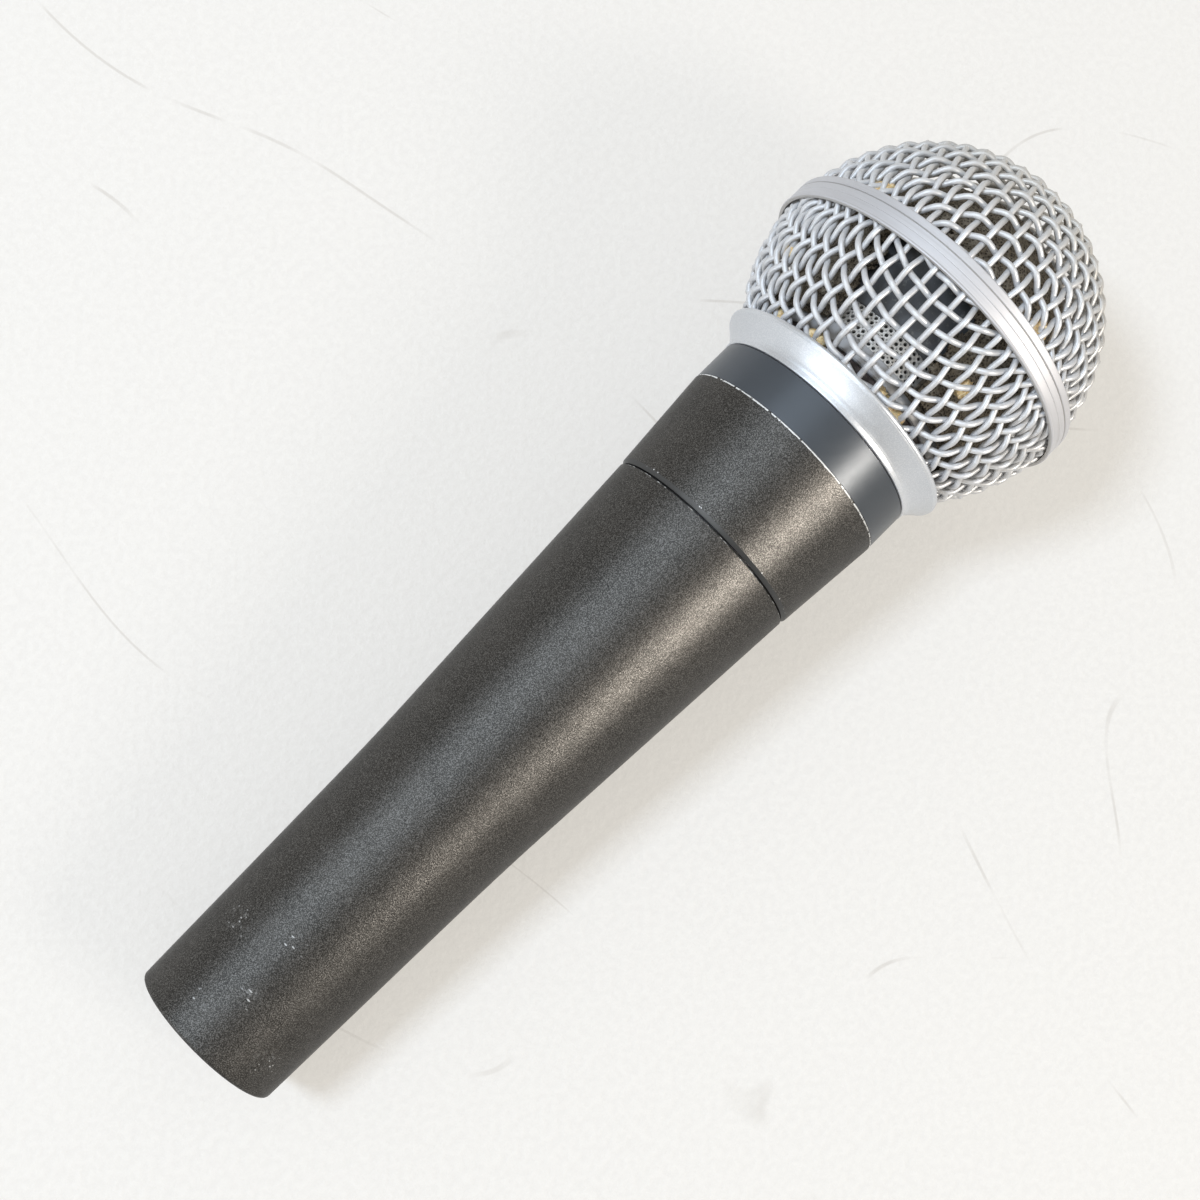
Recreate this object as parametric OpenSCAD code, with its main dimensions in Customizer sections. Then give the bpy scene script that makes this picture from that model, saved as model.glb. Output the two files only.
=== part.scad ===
// Handheld dynamic vocal microphone with a woven wire ball grille.
// The microphone's own axis lies along +X, the head end is +X and +Z is up.
// The origin is on the axis at the tail face, where the cable connector enters.
// Every module is turned about Z, with z as the distance from the tail face,
// and lay() then lays it down along +X. Local -X becomes up.

/* [Overall] */
// Length from the tail face to the front of the grille
overall_l = 162; // [160:0.5:164]
// Outside diameter of the band around the grille
band_d = 51; // [50.6:0.1:51.6]

/* [Handle] */
// Outside diameter of the handle at the tail, ahead of its taper
tail_d = 22.84; // [22.6:0.02:23.2]
// Length of the handle from the tail face to the joint groove
handle_l = 92.5; // [91.8:0.1:92.8]
// Rise of the handle's radius for each millimetre, over its tail part
tail_slope = 0.0255; // [0.022:0.0005:0.029]
// Rise of the handle's radius for each millimetre, over its upper part
upper_slope = 0.0575; // [0.054:0.0005:0.059]
// Distance from the tail where the slope starts to change
blend_from = 34; // [32:1:36]
// Distance from the tail where the slope has changed
blend_to = 50; // [48:1:52]
// Radius of the rounded tail rim
rim_round = 0.5; // [0.4:0.1:0.9]

/* [Connector] */
// Radius of the socket that the cable plug goes into
socket_r = 8.3; // [8.2:0.05:8.4]
// Depth of the socket, from the tail face to the insert's face
socket_depth = 15.2; // [15:0.1:15.6]
// Radius of each contact pin
pin_r = 1.2; // [1.15:0.05:1.2]
// Radius of the circle that the three pins stand on
pin_circle_r = 3.81; // [3.81:0.01:3.82]
// Length of a pin outside the insert
pin_l = 11; // [10.6:0.1:11]

/* [Cartridge] */
// Width of the joint groove between the handle and the sleeve
groove_w = 0.3; // [0.25:0.05:0.5]
// Length of the tapered sleeve
sleeve_l = 15.9; // [15.7:0.1:16]
// Outside radius of the sleeve at the groove
sleeve_r1 = 15.5; // [15.4:0.05:15.6]
// Outside radius of the sleeve at the nameplate
sleeve_r2 = 16.8; // [16.75:0.05:16.9]
// Length of the plain nameplate band
nameplate_l = 5.9; // [5.8:0.05:6]

/* [Grille] */
// Outside radius of the woven ball, over the crowns of its wires
ball_r = 24.9; // [24.7:0.05:25]
// Thickness of the shells that stand for the woven wire
mesh_wall = 0.7; // [0.6:0.05:0.8]
// Width of the band along the axis
band_w = 3.9; // [3.7:0.1:4]
// Distance from the tail face to the band's tail edge
band_from = 134.6; // [134.4:0.1:134.8]
// Largest radius of the flared collar
collar_r = 19.4; // [19.2:0.1:19.6]
// Outside radius of the foam windscreen's dome
foam_r = 19.3; // [19:0.1:19.6]

/* [Capsule] */
// Outside radius of the capsule's dark front cap
cap_r = 15.5; // [15.4:0.05:15.55]
// Outside radius of the perforated port ring
port_r = 15.0; // [14.95:0.05:15.1]
// Radius of the voice coil at its middle
coil_r = 8.0; // [7.95:0.05:8.05]
// Radius of the steel cup around the magnet
yoke_r = 10.15; // [10.1:0.01:10.15]

/* [Hidden] */

$fn = 96;
eps = 0.01;

// Colours of the real materials
enamel_dark = [0.25, 0.24, 0.22];
nameplate_blue = [0.24, 0.27, 0.31];
enamel_silver = [0.70, 0.71, 0.74];
plated_steel = [0.66, 0.67, 0.69];
brass_pin = [0.80, 0.72, 0.50];
phenolic = [0.10, 0.13, 0.12];
foam_brown = [0.27, 0.24, 0.20];
rubber_black = [0.09, 0.08, 0.08];
copper_wire = [0.72, 0.40, 0.20];

// Stations along the axis
sleeve_z = handle_l + groove_w;
nameplate_z = sleeve_z + sleeve_l;
collar_z = nameplate_z + nameplate_l + 0.2;
thread_end_z = collar_z + 4.3;
collar_end_z = collar_z + 4.35;
band_mid_z = band_from + band_w / 2;
dome_z = overall_l - ball_r;
insert_back_z = socket_depth + 9;
frame_z = collar_z + 7;
port_z = frame_z + 2.4;
port_end_z = port_z + 4.2;
coil_top_z = port_z + 2.2;
cap_front_z = port_end_z + 13.6;
transformer_z = 44;

// Radii inside the handle and the sleeve
handle_thread_r = 13.3;
spigot_r = 13;
spigot_l = 8.2;
handle_cavity_r = 12;
transformer_cavity_r = 9.7;
grille_thread_r = 15.5;
sleeve_bore_r = 14.2;
lead_bore_r = 11.2;
can_r = 12;
fit_gap = 0.05;

// Lays a piece that was turned about Z down along +X
module lay() {
    rotate([0, 90, 0]) children();
}

// A tube from z0 to z1
module tube(r_out, r_in, z0, z1) {
    translate([0, 0, z0]) difference() {
        cylinder(r = r_out, h = z1 - z0);
        translate([0, 0, -1]) cylinder(r = r_in, h = z1 - z0 + 2);
    }
}

// A solid round bar from z0 to z1
module bar(r, z0, z1) {
    translate([0, 0, z0]) cylinder(r = r, h = z1 - z0);
}

// Shallow V grooves around a male thread of radius r
module thread_grooves(r, z0, z1, pitch = 1) {
    depth = 0.3;
    for (z = [z0 + pitch : pitch : z1 - pitch / 2])
        translate([0, 0, z]) rotate_extrude()
            polygon([[r + 0.2, -0.32], [r - depth, 0], [r + 0.2, 0.32]]);
}

// A round-bodied wire along a list of points, with eight sides
module wire(points, r) {
    sides = 8;
    n = len(points);
    function along(i) = points[min(i + 1, n - 1)] - points[max(i - 1, 0)];
    function unit(v) = v / norm(v);
    function side_a(t, p) = unit(cross(t, [p[0], p[1], 0]));
    verts = [for (i = [0 : n - 1]) let (t = unit(along(i)), a = side_a(t, points[i]), b = cross(t, a))
        for (k = [0 : sides - 1]) points[i] + r * (cos(k * 360 / sides) * a + sin(k * 360 / sides) * b)];
    walls = [for (i = [0 : n - 2]) for (k = [0 : sides - 1])
        [i * sides + k, i * sides + (k + 1) % sides, (i + 1) * sides + (k + 1) % sides,
            (i + 1) * sides + k]];
    start_cap = [[for (k = [sides - 1 : -1 : 0]) k]];
    end_cap = [[for (k = [0 : sides - 1]) (n - 1) * sides + k]];
    polyhedron(points = verts, faces = concat(walls, start_cap, end_cap), convexity = 4);
}

// A smooth S-shaped run of points from a to b, as a half cosine across the axis
function eased(a, b, steps = 12) = [for (i = [0 : steps]) let (u = i / steps)
    [a[0] + (b[0] - a[0]) * (1 - cos(180 * u)) / 2,
        a[1] + (b[1] - a[1]) * (1 - cos(180 * u)) / 2,
        a[2] + (b[2] - a[2]) * u]];

// Outside radius of the handle at distance z from the tail face
function handle_r(z) = z <= blend_from ? tail_d / 2 + tail_slope * z
    : z <= blend_to ? tail_d / 2 + tail_slope * z
        + (upper_slope - tail_slope) * pow(z - blend_from, 2) / (2 * (blend_to - blend_from))
    : handle_r(blend_to) + upper_slope * (z - blend_to);

// ---------------------------------------------------------------- handle

module handle_outline() {
    chamfer = 0.1;
    polygon(concat(
        [[0, 0], [tail_d / 2 - rim_round, 0]],
        [for (a = [10 : 16 : 90]) [tail_d / 2 - rim_round + rim_round * sin(a),
            rim_round - rim_round * cos(a)]],
        [for (z = [blend_from : 2 : blend_to]) [handle_r(z), z]],
        [[handle_r(handle_l - chamfer), handle_l - chamfer],
            [handle_r(handle_l) - chamfer, handle_l], [0, handle_l]]));
}

module handle_shell() {
    latch_w = 4.6;
    latch_depth = 1.0;
    mouth_chamfer = 0.5;
    shoulder_z = 31;
    middle_z = 62;
    thread_z = handle_l - 8.8;
    color(enamel_dark) lay() difference() {
        rotate_extrude() handle_outline();
        bar(socket_r, -1, shoulder_z);
        translate([0, 0, -eps]) cylinder(r1 = socket_r + mouth_chamfer, r2 = socket_r, h = mouth_chamfer);
        bar(transformer_cavity_r, shoulder_z - eps, middle_z);
        bar(handle_cavity_r - 1.2, middle_z - eps, middle_z + 8);
        bar(handle_cavity_r, middle_z + 8 - eps, thread_z);
        bar(handle_thread_r, thread_z - eps, handle_l + 1);
        // recess that the cable plug's latch springs into
        translate([-socket_r - latch_depth, -latch_w / 2, 2.2]) cube([3, latch_w, 8.6]);
        // dimple that the insert's set screw bears in
        translate([-socket_r + 0.5, 0, insert_back_z - 4.5]) rotate([0, -90, 0]) cylinder(r = 1.4, h = 1.2);
    }
}

pin_at = [[0, pin_circle_r], [0, -pin_circle_r], [pin_circle_r, 0]];
pin_shank_r = 1.0;
strip_t = 0.3;

module xlr_insert() {
    insert_r = socket_r - 0.1;
    screw_bore_r = 1.3;
    color(phenolic) lay() difference() {
        union() {
            bar(insert_r, socket_depth, insert_back_z);
            bar(insert_r - 1.6, insert_back_z - eps, insert_back_z + 1.5);
        }
        for (p = pin_at) translate([p[0], p[1], socket_depth - 1]) cylinder(r = pin_shank_r, h = 13);
        // shallow ring recess in the face around the pins
        translate([0, 0, socket_depth - 1]) difference() {
            cylinder(r = 7.0, h = 1.4);
            translate([0, 0, -1]) cylinder(r = 6.2, h = 4);
        }
        translate([-3.4, 0, insert_back_z - 4.5]) rotate([0, -90, 0]) cylinder(r = screw_bore_r, h = 6);
    }
}

// One contact pin: a round-nosed contact, a thinner shank and a solder cup
module contact_pin(i) {
    nose_z = socket_depth - pin_l;
    cup_z = insert_back_z + 1.5 + strip_t;
    color(brass_pin) lay() translate([pin_at[i][0], pin_at[i][1], 0]) difference() {
        union() {
            bar(pin_r, nose_z + pin_r, socket_depth);
            translate([0, 0, nose_z + pin_r]) sphere(r = pin_r);
            bar(pin_shank_r, socket_depth - eps, cup_z + 1);
            bar(pin_r + 0.1, cup_z, cup_z + 3.2);
        }
        bar(0.7, cup_z + 0.8, cup_z + 4);
    }
}

module contact_pin_1() {
    contact_pin(0);
}

module contact_pin_2() {
    contact_pin(1);
}

module contact_pin_3() {
    contact_pin(2);
}

// Spring strip that joins the first pin to the metal handle
module ground_strip() {
    strip_w = 3;
    z0 = insert_back_z + 1.5;
    color(plated_steel) lay() difference() {
        union() {
            translate([-strip_w / 2, pin_circle_r - 1, z0]) cube([strip_w, 3.1, strip_t]);
            translate([0, pin_circle_r, z0]) cylinder(r = 1.9, h = strip_t);
            translate([-strip_w / 2, pin_circle_r + 1.8, z0]) cube([strip_w, strip_t, 4.5]);
            translate([-strip_w / 2, pin_circle_r + 1.8, z0 + 4.2]) cube([strip_w, 2.2, strip_t]);
        }
        translate([0, pin_circle_r, z0 - 1]) cylinder(r = pin_shank_r, h = 3);
    }
}

// Slotted screw that spreads the insert against the handle
module insert_set_screw() {
    screw_r = 1.22;
    color(plated_steel) lay() translate([-3.7, 0, insert_back_z - 4.5]) rotate([0, -90, 0])
        difference() {
            union() {
                cylinder(r = screw_r, h = 4.4);
                translate([0, 0, 4.4 - eps]) cylinder(r1 = screw_r, r2 = 0.7, h = 0.4);
            }
            translate([-2, -0.2, -0.5]) cube([4, 0.4, 1.1]);
        }
}

// ---------------------------------------------------------------- transformer

core_l = 16;
core_w = 14;
core_h = 9;
leg_w = 5;
window_w = 2.5;
window_l = 11;

module transformer_core() {
    color([0.35, 0.34, 0.36]) lay() translate([0, 0, transformer_z]) difference() {
        cube([core_h, core_w, core_l], center = true);
        for (side = [-1, 1])
            translate([0, side * (leg_w + window_w) / 2, 0])
                cube([core_h + 1, window_w, window_l], center = true);
    }
}

module transformer_bobbin() {
    flange_t = 0.7;
    wall = 0.35;
    color([0.75, 0.72, 0.62]) lay() translate([0, 0, transformer_z]) difference() {
        union() {
            cube([core_h + 0.1 + 2 * wall, leg_w + 0.1 + 2 * wall, window_l - 0.2], center = true);
            for (side = [-1, 1])
                translate([0, 0, side * (window_l - 0.2 - flange_t) / 2])
                    cube([14.4, leg_w + 2 * window_w - 0.2, flange_t], center = true);
        }
        cube([core_h + 0.1, leg_w + 0.1, window_l + 2], center = true);
    }
}

module transformer_winding() {
    color(copper_wire) lay() translate([0, 0, transformer_z]) difference() {
        cube([14, leg_w + 2 * window_w - 0.6, window_l - 1.7], center = true);
        cube([core_h + 0.9, leg_w + 0.9, window_l + 2], center = true);
    }
}

// Where the wires enter and leave the potted transformer, across the axis
lead_in_at = [[5.6, 4.2], [5.6, -4.2], [-5.6, 0]];
lead_out_at = [[-6.2, 3.2], [-6.2, -3.2]];
lead_r = 0.5;

module potting_compound() {
    wax_l = 22;
    color([0.62, 0.56, 0.42]) lay() difference() {
        bar(transformer_cavity_r - 0.1, transformer_z - wax_l / 2, transformer_z + wax_l / 2);
        translate([0, 0, transformer_z]) {
            cube([core_h + 0.2, core_w + 0.2, core_l + 0.2], center = true);
            cube([14.6, leg_w + 2 * window_w, window_l], center = true);
        }
        for (p = lead_in_at) translate([p[0], p[1], transformer_z - 12])
            cylinder(r = lead_r + 0.15, h = 12 - core_l / 2 + 2.6);
        for (p = lead_out_at) translate([p[0], p[1], transformer_z + 5.4])
            cylinder(r = lead_r + 0.15, h = 12);
    }
}

// Three short wires from the solder cups to the transformer
module input_leads() {
    start_z = insert_back_z + 5.1;
    end_z = transformer_z - window_l / 2 - 0.1;
    color([0.75, 0.15, 0.12]) lay() for (i = [0 : 2])
        wire(concat(eased([pin_at[i][0], pin_at[i][1], start_z],
            [lead_in_at[i][0], lead_in_at[i][1], transformer_z - 11.5], 8),
            [[lead_in_at[i][0], lead_in_at[i][1], end_z]]), lead_r);
}

// The pair from the transformer to the capsule, with its slack in an open coil
module capsule_leads() {
    coil_start = transformer_z + 14;
    coil_end = transformer_z + 34;
    coil_radius = 7;
    turns = 2.5;
    steps = 45;
    board_z = collar_z - 16.1;
    color([0.80, 0.72, 0.20]) lay() for (side = [-1, 1])
        wire(concat(
            [[-6.2, side * 3.2, transformer_z + 5.7], [-6.2, side * 3.2, transformer_z + 11.5]],
            [for (i = [0 : steps]) let (u = i / steps, a = 180 - side * 27 + 360 * turns * u)
                [coil_radius * cos(a), coil_radius * sin(a),
                    coil_start + (coil_end - coil_start) * u]],
            [[5.2, side * -3, coil_end + 4], [3, side * -2.6, coil_end + 10],
                [2, side * -2.4, board_z - 3], [2, side * -2.4, board_z]]),
            lead_r);
}

// ---------------------------------------------------------------- cartridge

function sleeve_r(z) = sleeve_r1 + (sleeve_r2 - sleeve_r1) * (z - sleeve_z) / sleeve_l;

module sleeve_outline() {
    edge = 0.35;
    edge_l = 0.55;
    step_r = sleeve_r2 - 0.6;
    polygon([[0, sleeve_z - spigot_l], [spigot_r - 0.4, sleeve_z - spigot_l],
        [spigot_r, sleeve_z - spigot_l + 0.4], [spigot_r, sleeve_z],
        [sleeve_r1 - edge, sleeve_z], [sleeve_r(sleeve_z + edge_l), sleeve_z + edge_l],
        [sleeve_r2, nameplate_z - 0.1], [sleeve_r2 - 0.1, nameplate_z], [step_r, nameplate_z],
        [step_r, nameplate_z + nameplate_l], [grille_thread_r, nameplate_z + nameplate_l],
        [grille_thread_r, thread_end_z - 0.4], [grille_thread_r - 0.4, thread_end_z],
        [0, thread_end_z]]);
}

module cartridge_sleeve() {
    bore_from = collar_z - 16.9;
    color(enamel_dark) lay() difference() {
        rotate_extrude() sleeve_outline();
        bar(lead_bore_r, sleeve_z - spigot_l - 1, bore_from + 1);
        bar(sleeve_bore_r, bore_from, thread_end_z + 1);
        thread_grooves(spigot_r, sleeve_z - spigot_l + 0.4, sleeve_z - 0.6);
        thread_grooves(grille_thread_r, nameplate_z + nameplate_l + 0.3, thread_end_z);
    }
}

module nameplate_band() {
    color(nameplate_blue) lay()
        tube(sleeve_r2 - 0.05, sleeve_r2 - 0.6, nameplate_z + 0.02, nameplate_z + nameplate_l);
}

// Rubber ring that centres the capsule's tail in the sleeve
module rear_shock_mount() {
    color(rubber_black) lay() difference() {
        tube(sleeve_bore_r - 0.05, can_r + 0.1, collar_z - 13, collar_z - 9);
        for (a = [0 : 30 : 330]) rotate([0, 0, a])
            translate([(sleeve_bore_r + can_r) / 2, 0, collar_z - 14]) cylinder(r = 0.6, h = 6);
    }
}

// Rubber boot that carries the capsule's front in the mouth of the sleeve
module front_shock_mount() {
    color(rubber_black) lay() rotate_extrude() polygon([
        [13.3, collar_z + 1], [sleeve_bore_r - 0.05, collar_z + 1],
        [sleeve_bore_r - 0.05, thread_end_z + 0.05], [15.2, thread_end_z + 0.25],
        [15.2, frame_z - 0.45], [14.6, frame_z - 0.1], [13.3, frame_z - 0.1]]);
}

// ---------------------------------------------------------------- capsule

// Closed rear can whose air volume tunes the capsule
module air_chamber_can() {
    wall = 0.6;
    z0 = collar_z - 15.2;
    z1 = frame_z - 4.8;
    color([0.55, 0.56, 0.58]) lay() difference() {
        bar(can_r, z0, z1);
        bar(can_r - wall, z0 + wall, z1 + 1);
    }
}

// Small board on the back of the can that the leads are soldered to
module terminal_board() {
    z1 = collar_z - 15.2;
    color([0.45, 0.30, 0.15]) lay() difference() {
        bar(5, z1 - 0.8, z1);
        for (side = [-1, 1]) translate([2, side * 2.4, z1 - 2]) cylinder(r = 0.4, h = 4);
    }
}

// Moulded frame that holds the magnet's cup and the diaphragm's seat
module capsule_frame() {
    inner_r = yoke_r + fit_gap;
    port_holes = 12;
    color([0.62, 0.61, 0.60]) lay() difference() {
        rotate_extrude() polygon([
            [inner_r, frame_z - 4.8], [13.2, frame_z - 4.8], [13.2, frame_z],
            [port_r - 0.2, frame_z], [port_r, frame_z + 0.2], [port_r, port_z],
            [14.1, port_z], [14.1, port_z + 1.8], [12.7, port_z + 1.8], [12.7, port_z + 0.6],
            [inner_r, port_z + 0.6]]);
        for (i = [0 : port_holes - 1]) rotate([0, 0, i * 360 / port_holes])
            translate([12, 0, port_z + 0.95]) rotate([0, 90, 0]) cylinder(r = 0.55, h = 4);
    }
}

// Perforated ring over the rear ports; its small holes are left plain here
module port_screen() {
    color(plated_steel) lay() tube(port_r, port_r - 0.4, port_z + 0.02, port_end_z);
}

module port_felt() {
    color([0.35, 0.33, 0.30]) lay() tube(port_r - 0.45, port_r - 0.8, port_z + 0.1, port_end_z - 0.1);
}

// Dark cap in front of the diaphragm, with a rounded brow and sound holes
module resonator_cap() {
    wall = 1;
    brow = 2.4;
    front_z = cap_front_z;
    inner_holes = 6;
    outer_holes = 12;
    color([0.12, 0.13, 0.15]) lay() difference() {
        rotate_extrude() difference() {
            union() {
                translate([0, port_end_z + 0.02]) square([cap_r, front_z - brow - port_end_z - 0.02]);
                translate([0, front_z - brow - eps]) square([cap_r - brow, brow + eps]);
                translate([cap_r - brow, front_z - brow]) intersection() {
                    circle(r = brow);
                    square(brow + 1);
                }
            }
            translate([-eps, port_end_z - 1]) square([cap_r - wall, front_z - wall - port_end_z + 1]);
        }
        bar(1.6, front_z - 4, front_z + 1);
        for (i = [0 : inner_holes - 1]) rotate([0, 0, i * 360 / inner_holes])
            translate([5, 0, front_z - 4]) cylinder(r = 1.5, h = 6);
        for (i = [0 : outer_holes - 1]) rotate([0, 0, (i + 0.5) * 360 / outer_holes])
            translate([9.8, 0, front_z - 4]) cylinder(r = 1.5, h = 6);
    }
}

module front_cloth() {
    color([0.20, 0.20, 0.22]) lay() bar(cap_r - 2.6, cap_front_z - 1.45, cap_front_z - 1.05);
}

module yoke_cup() {
    floor_t = 2.2;
    color(plated_steel) lay() difference() {
        bar(yoke_r, frame_z - 9.8, port_z + 0.2);
        bar(coil_r + 0.6, frame_z - 9.8 + floor_t, port_z + 1);
    }
}

module magnet() {
    color([0.45, 0.45, 0.47]) lay() bar(6.4, frame_z - 7.6, frame_z - 1.4);
}

module pole_plate() {
    color(plated_steel) lay() bar(coil_r - 0.6, frame_z - 1.4, port_z + 0.2);
}

// Domed diaphragm with a shallow rolled surround
module diaphragm() {
    skin = 0.3;
    dome_r = 15;
    dome_base_r = coil_r + 0.2;
    dome_mid_z = coil_top_z - sqrt(dome_r * dome_r - dome_base_r * dome_base_r);
    roll_r = 1.9;
    roll_mid_r = 10.8;
    color([0.80, 0.78, 0.70]) lay() {
        rotate_extrude() union() {
            intersection() {
                translate([0, dome_mid_z]) difference() {
                    circle(r = dome_r + skin);
                    circle(r = dome_r);
                }
                translate([0, coil_top_z + 0.02]) square([dome_base_r, 4]);
            }
            translate([dome_base_r - 0.5, coil_top_z]) square([roll_mid_r - roll_r - dome_base_r + 0.6, skin]);
            translate([roll_mid_r + roll_r - 0.1, coil_top_z])
                square([13.85 - roll_mid_r - roll_r + 0.1, skin]);
            intersection() {
                translate([roll_mid_r, coil_top_z - 0.9]) difference() {
                    circle(r = 2.25);
                    circle(r = 2.25 - skin);
                }
                translate([roll_mid_r - 3, coil_top_z]) square([6, 3]);
            }
        }
    }
}

module voice_coil() {
    color(copper_wire) lay() tube(coil_r + 0.25, coil_r - 0.25, coil_top_z - 6.5, coil_top_z);
}

// ---------------------------------------------------------------- grille

// Concave flare of the collar, from a narrow land at the nameplate out to a rounded lip
module collar_outline() {
    start_r = sleeve_r2 + 0.1;
    land_z = collar_z + 0.75;
    lip_r = 0.45;
    lip_z = collar_end_z - lip_r;
    flare_end_z = lip_z - 0.42;
    flare = [for (i = [0 : 8]) let (u = i / 8)
        [start_r + (collar_r - 0.17 - start_r) * pow(u, 1.35), land_z + (flare_end_z - land_z) * u]];
    lip = [for (a = [-45 : 15 : 90])
        [collar_r - lip_r + lip_r * cos(a), lip_z + lip_r * sin(a)]];
    bore_r = grille_thread_r + 0.3;
    polygon(concat([[bore_r, collar_z], [start_r - 0.2, collar_z], [start_r - 0.06, collar_z + 0.06],
        [start_r, collar_z + 0.2]], flare, lip, [[bore_r, collar_end_z]]));
}

module grille_collar() {
    color(enamel_silver) lay() difference() {
        rotate_extrude() collar_outline();
        translate([0, 0, band_mid_z]) sphere(r = ball_r + 0.05);
    }
}

// One half of the woven ball: a thin spherical zone from z0 to z1
module mesh_zone(mid_z, z0, z1) {
    rotate_extrude() intersection() {
        translate([0, mid_z]) difference() {
            circle(r = ball_r);
            circle(r = ball_r - mesh_wall);
        }
        translate([0, z0]) square([ball_r + 1, z1 - z0]);
    }
}

module lower_mesh() {
    color(enamel_silver) lay() mesh_zone(band_mid_z, collar_end_z - 0.55, band_mid_z - 0.1);
}

module upper_mesh() {
    color(enamel_silver) lay() mesh_zone(dome_z, band_mid_z + 0.1, overall_l + 1);
}

// Band over the joint of the ball's halves: a rolled bead on its tail edge, a face with a
// fine turned line, and the seam where the two rings under it meet
module grille_band() {
    r = band_d / 2;
    face_r = r - 0.08;
    line_z = band_from + 0.4 * band_w;
    seam_z = band_from + 0.69 * band_w;
    end_z = band_from + band_w;
    color([0.78, 0.79, 0.81]) lay() rotate_extrude() polygon([
        [ball_r + 0.05, band_from], [r - 0.3, band_from], [r - 0.09, band_from + 0.07],
        [r, band_from + 0.2], [r - 0.03, band_from + 0.34], [face_r, band_from + 0.42],
        [face_r, line_z - 0.08], [face_r - 0.05, line_z], [face_r, line_z + 0.08],
        [face_r, seam_z - 0.14], [face_r - 0.16, seam_z], [face_r + 0.03, seam_z + 0.12],
        [face_r, end_z - 0.2], [face_r - 0.06, end_z - 0.06], [face_r - 0.25, end_z],
        [ball_r + 0.05, end_z]]);
}

// Open-cell foam liner: a dome in front and a skirt around the capsule
module foam_windscreen() {
    skirt_z = collar_z + 8.3;
    skirt_r = foam_r - 1.1;
    cavity_r = cap_r + 0.6;
    color(foam_brown) lay() rotate_extrude() difference() {
        union() {
            intersection() {
                translate([0, dome_z]) circle(r = foam_r);
                translate([0, dome_z - 6]) square(2 * foam_r);
            }
            translate([0, skirt_z]) square([skirt_r, dome_z - 5 - skirt_z]);
        }
        translate([-eps, skirt_z - 1]) square([cavity_r + eps, dome_z + 1 - skirt_z]);
        translate([0, dome_z]) circle(r = foam_r - 2.7);
    }
}

// Dabs of glue that bridge from the foam to the wire, near the band and near the collar
module adhesive_beads() {
    band_dabs = 5;
    skirt_dabs = 4;
    color([0.72, 0.58, 0.30]) lay() {
        for (i = [0 : band_dabs - 1]) rotate([0, 0, 28 + i * 360 / band_dabs])
            translate([-foam_r - 0.05, 0, band_mid_z + 3.2]) rotate([0, -90, 0])
                cylinder(r = 1.3, h = 4.4);
        for (i = [0 : skirt_dabs - 1]) rotate([0, 0, 27 + i * 360 / skirt_dabs])
            translate([-foam_r + 1.0, 0, collar_z + 13.2]) rotate([0, -90, 0])
                cylinder(r = 1.1, h = 3.9);
    }
}

handle_shell();
xlr_insert();
contact_pin_1();
contact_pin_2();
contact_pin_3();
ground_strip();
insert_set_screw();
transformer_core();
transformer_bobbin();
transformer_winding();
potting_compound();
input_leads();
capsule_leads();
cartridge_sleeve();
nameplate_band();
rear_shock_mount();
front_shock_mount();
air_chamber_can();
capsule_frame();
port_screen();
port_felt();
resonator_cap();
front_cloth();
yoke_cup();
magnet();
pole_plate();
terminal_board();
diaphragm();
voice_coil();
grille_collar();
lower_mesh();
grille_band();
upper_mesh();
foam_windscreen();
adhesive_beads();
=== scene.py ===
"""Looks for a handheld dynamic microphone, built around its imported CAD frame.

Everything is in metres in the CAD's frame: the microphone's axis is +X with the
grille at +X, and +Z is up. Sizes written here in millimetres are multiplied by MM.
"""

import math
import random

import bpy
import numpy as np
from mathutils import Matrix, Vector, noise


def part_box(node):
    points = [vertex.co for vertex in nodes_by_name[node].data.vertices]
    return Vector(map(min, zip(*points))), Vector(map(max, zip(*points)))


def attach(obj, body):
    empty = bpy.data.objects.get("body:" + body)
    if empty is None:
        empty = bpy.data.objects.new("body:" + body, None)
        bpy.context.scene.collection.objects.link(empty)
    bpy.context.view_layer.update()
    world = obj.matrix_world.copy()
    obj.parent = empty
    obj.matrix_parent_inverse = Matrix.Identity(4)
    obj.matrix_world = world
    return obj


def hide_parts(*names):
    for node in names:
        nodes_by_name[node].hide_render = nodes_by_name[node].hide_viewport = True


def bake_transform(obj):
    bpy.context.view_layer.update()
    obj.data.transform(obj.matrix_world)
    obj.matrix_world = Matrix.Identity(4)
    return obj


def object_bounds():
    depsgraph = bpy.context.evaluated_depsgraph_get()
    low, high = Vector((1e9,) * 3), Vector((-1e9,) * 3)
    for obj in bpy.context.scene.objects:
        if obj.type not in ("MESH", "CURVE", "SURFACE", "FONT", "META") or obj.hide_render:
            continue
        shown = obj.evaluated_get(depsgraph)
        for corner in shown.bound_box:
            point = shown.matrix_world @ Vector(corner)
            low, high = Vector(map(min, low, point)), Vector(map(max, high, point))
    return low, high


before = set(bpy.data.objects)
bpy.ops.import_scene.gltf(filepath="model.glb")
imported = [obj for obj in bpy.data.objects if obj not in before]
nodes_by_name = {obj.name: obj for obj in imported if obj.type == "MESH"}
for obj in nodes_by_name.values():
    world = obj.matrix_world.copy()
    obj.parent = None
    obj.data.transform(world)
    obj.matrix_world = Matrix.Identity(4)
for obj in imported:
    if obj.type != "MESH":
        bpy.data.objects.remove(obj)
cad_low, cad_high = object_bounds()

MM = 0.001


def low_x(node):
    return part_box(node)[0].x


def high_x(node):
    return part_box(node)[1].x


def outer_r(node):
    """Largest radius of a turned CAD node about the X axis."""
    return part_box(node)[1].y


BALL_R = outer_r("upper_mesh")
BAND_MID = (low_x("grille_band") + high_x("grille_band")) / 2
DOME_MID = high_x("upper_mesh") - BALL_R
FOAM_R = outer_r("foam_windscreen")

# ---------------------------------------------------------------- camera, light, floor

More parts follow.
